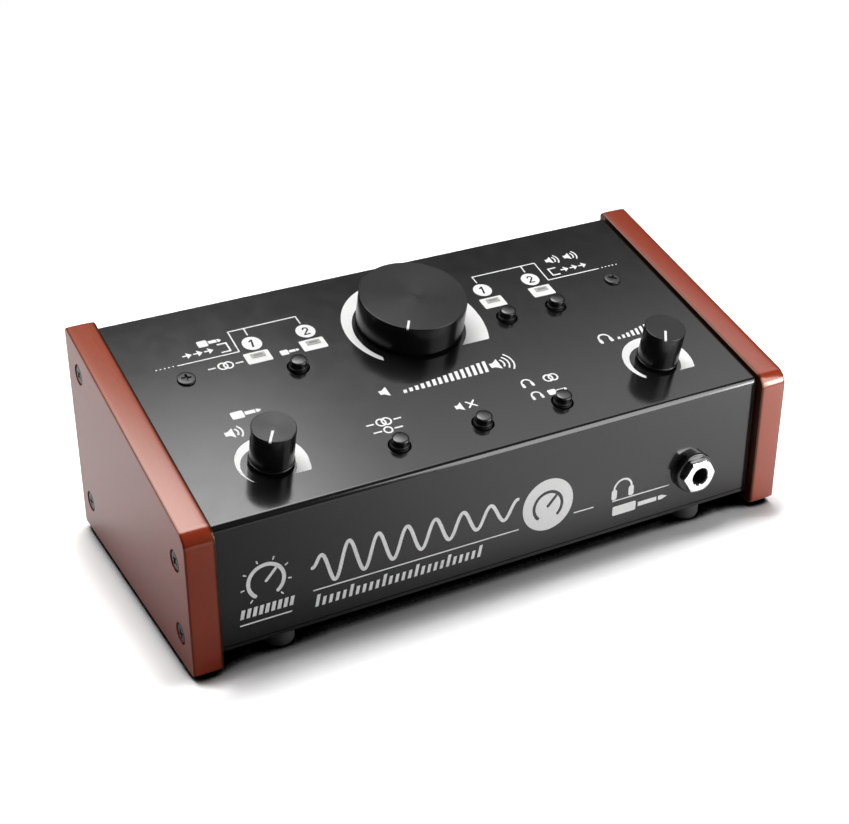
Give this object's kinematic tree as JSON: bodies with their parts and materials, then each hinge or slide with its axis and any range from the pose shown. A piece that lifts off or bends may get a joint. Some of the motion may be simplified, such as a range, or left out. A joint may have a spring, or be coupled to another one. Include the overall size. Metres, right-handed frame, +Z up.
{
  "type": "studio monitor controller",
  "caption": "Desktop audio controller: sloping black steel panel between wooden cheeks, with a large level knob, two small knobs, push buttons and plug sockets.",
  "frame": {"origin": "bottom centre of the bounding box, on the plane the feet stand on", "axes": "+X from the left cheek to the right cheek as the user sees it, +Y from the front to the rear wall, +Z up"},
  "size_m": [0.22, 0.1044, 0.0832],
  "materials": {
    "wood": "red-brown satin lacquer over fine grain",
    "black_paint": "fine satin black powder coat",
    "plated_steel": "zinc plated, dull",
    "black_screw": "black oxide",
    "rubber": "matte",
    "board": "solder mask",
    "ribbon": "grey ribbon",
    "chromed": "polished nickel",
    "black_plastic": "fine matte",
    "brass": "satin",
    "knob": "satin black, finely turned top",
    "button_cap": "glossy black",
    "lens": "milky light grey, unlit"
  },
  "bodies": {
    "case": {"aux_pot_body": "plated_steel", "aux_pot_nut": "brass", "base_tray": "black_paint", "control_board": "board", "front_left_foot": "rubber", "front_right_foot": "rubber", "front_socket": "chromed", "front_socket_nut": "chromed", "front_socket_washer": "black_plastic", "headphone_pot_body": "plated_steel", "headphone_pot_nut": "brass", "input_1_lamp": "lens", "input_2_lamp": "lens", "input_select_switch": "black_plastic", "jack_board": "board", "left_bracket": "plated_steel", "left_cheek": "wood", "left_cheek_screw_front_high": "black_screw", "left_cheek_screw_front_low": "black_screw", "left_cheek_screw_rear_high": "black_screw", "left_cheek_screw_rear_low": "black_screw", "left_panel_screw": "black_screw", "listen_switch": "black_plastic", "mono_switch": "black_plastic", "mute_switch": "black_plastic", "output_1_lamp": "lens", "output_1_select_switch": "black_plastic", "output_2_lamp": "lens", "output_2_select_switch": "black_plastic", "rear_left_foot": "rubber", "rear_right_foot": "rubber", "rear_socket_1": "black_plastic", "rear_socket_2": "black_plastic", "rear_socket_3": "black_plastic", "rear_socket_4": "black_plastic", "rear_socket_5": "black_plastic", "rear_socket_6": "black_plastic", "ribbon_cable": "ribbon", "right_bracket": "plated_steel", "right_cheek": "wood", "right_cheek_screw_front_high": "black_screw", "right_cheek_screw_front_low": "black_screw", "right_cheek_screw_rear_high": "black_screw", "right_cheek_screw_rear_low": "black_screw", "right_panel_screw": "black_screw", "top_cover": "black_paint", "volume_pot_body": "plated_steel", "volume_pot_nut": "brass"},
    "aux_control": {"aux_knob": "knob", "aux_shaft": "plated_steel"},
    "volume_control": {"volume_knob": "knob", "volume_shaft": "plated_steel"},
    "headphone_control": {"headphone_knob": "knob", "headphone_shaft": "plated_steel"},
    "mono_key": {"mono_button": "button_cap"},
    "mute_key": {"mute_button": "button_cap"},
    "listen_key": {"listen_button": "button_cap"},
    "input_select_key": {"input_select_button": "button_cap"},
    "output_1_select_key": {"output_1_select_button": "button_cap"},
    "output_2_select_key": {"output_2_select_button": "button_cap"}
  },
  "joints": [
    {"name": "aux_turn", "type": "hinge", "parent": "case", "child": "aux_control", "pos_m": [-0.0719, -0.02664, 0.05579], "axis": [0, 0.2443, -0.9697], "range_deg": [0, 300]},
    {"name": "volume_turn", "type": "hinge", "parent": "case", "child": "volume_control", "pos_m": [0, 0.01848, 0.06716], "axis": [0, 0.2443, -0.9697], "range_deg": [0, 300]},
    {"name": "headphone_turn", "type": "hinge", "parent": "case", "child": "headphone_control", "pos_m": [0.0719, -0.02664, 0.05579], "axis": [0, 0.2443, -0.9697], "range_deg": [0, 300]},
    {"name": "mono_press", "type": "slide", "parent": "case", "child": "mono_key", "axis": [0, 0.2443, -0.9697], "range_m": [0, 0.0015], "stiffness_N_per_m": 800},
    {"name": "mute_press", "type": "slide", "parent": "case", "child": "mute_key", "axis": [0, 0.2443, -0.9697], "range_m": [0, 0.0015], "stiffness_N_per_m": 800},
    {"name": "listen_press", "type": "slide", "parent": "case", "child": "listen_key", "axis": [0, 0.2443, -0.9697], "range_m": [0, 0.0015], "stiffness_N_per_m": 800},
    {"name": "input_select_press", "type": "slide", "parent": "case", "child": "input_select_key", "axis": [0, 0.2443, -0.9697], "range_m": [0, 0.0015], "stiffness_N_per_m": 800},
    {"name": "output_1_select_press", "type": "slide", "parent": "case", "child": "output_1_select_key", "axis": [0, 0.2443, -0.9697], "range_m": [0, 0.0015], "stiffness_N_per_m": 800},
    {"name": "output_2_select_press", "type": "slide", "parent": "case", "child": "output_2_select_key", "axis": [0, 0.2443, -0.9697], "range_m": [0, 0.0015], "stiffness_N_per_m": 800}
  ]
}
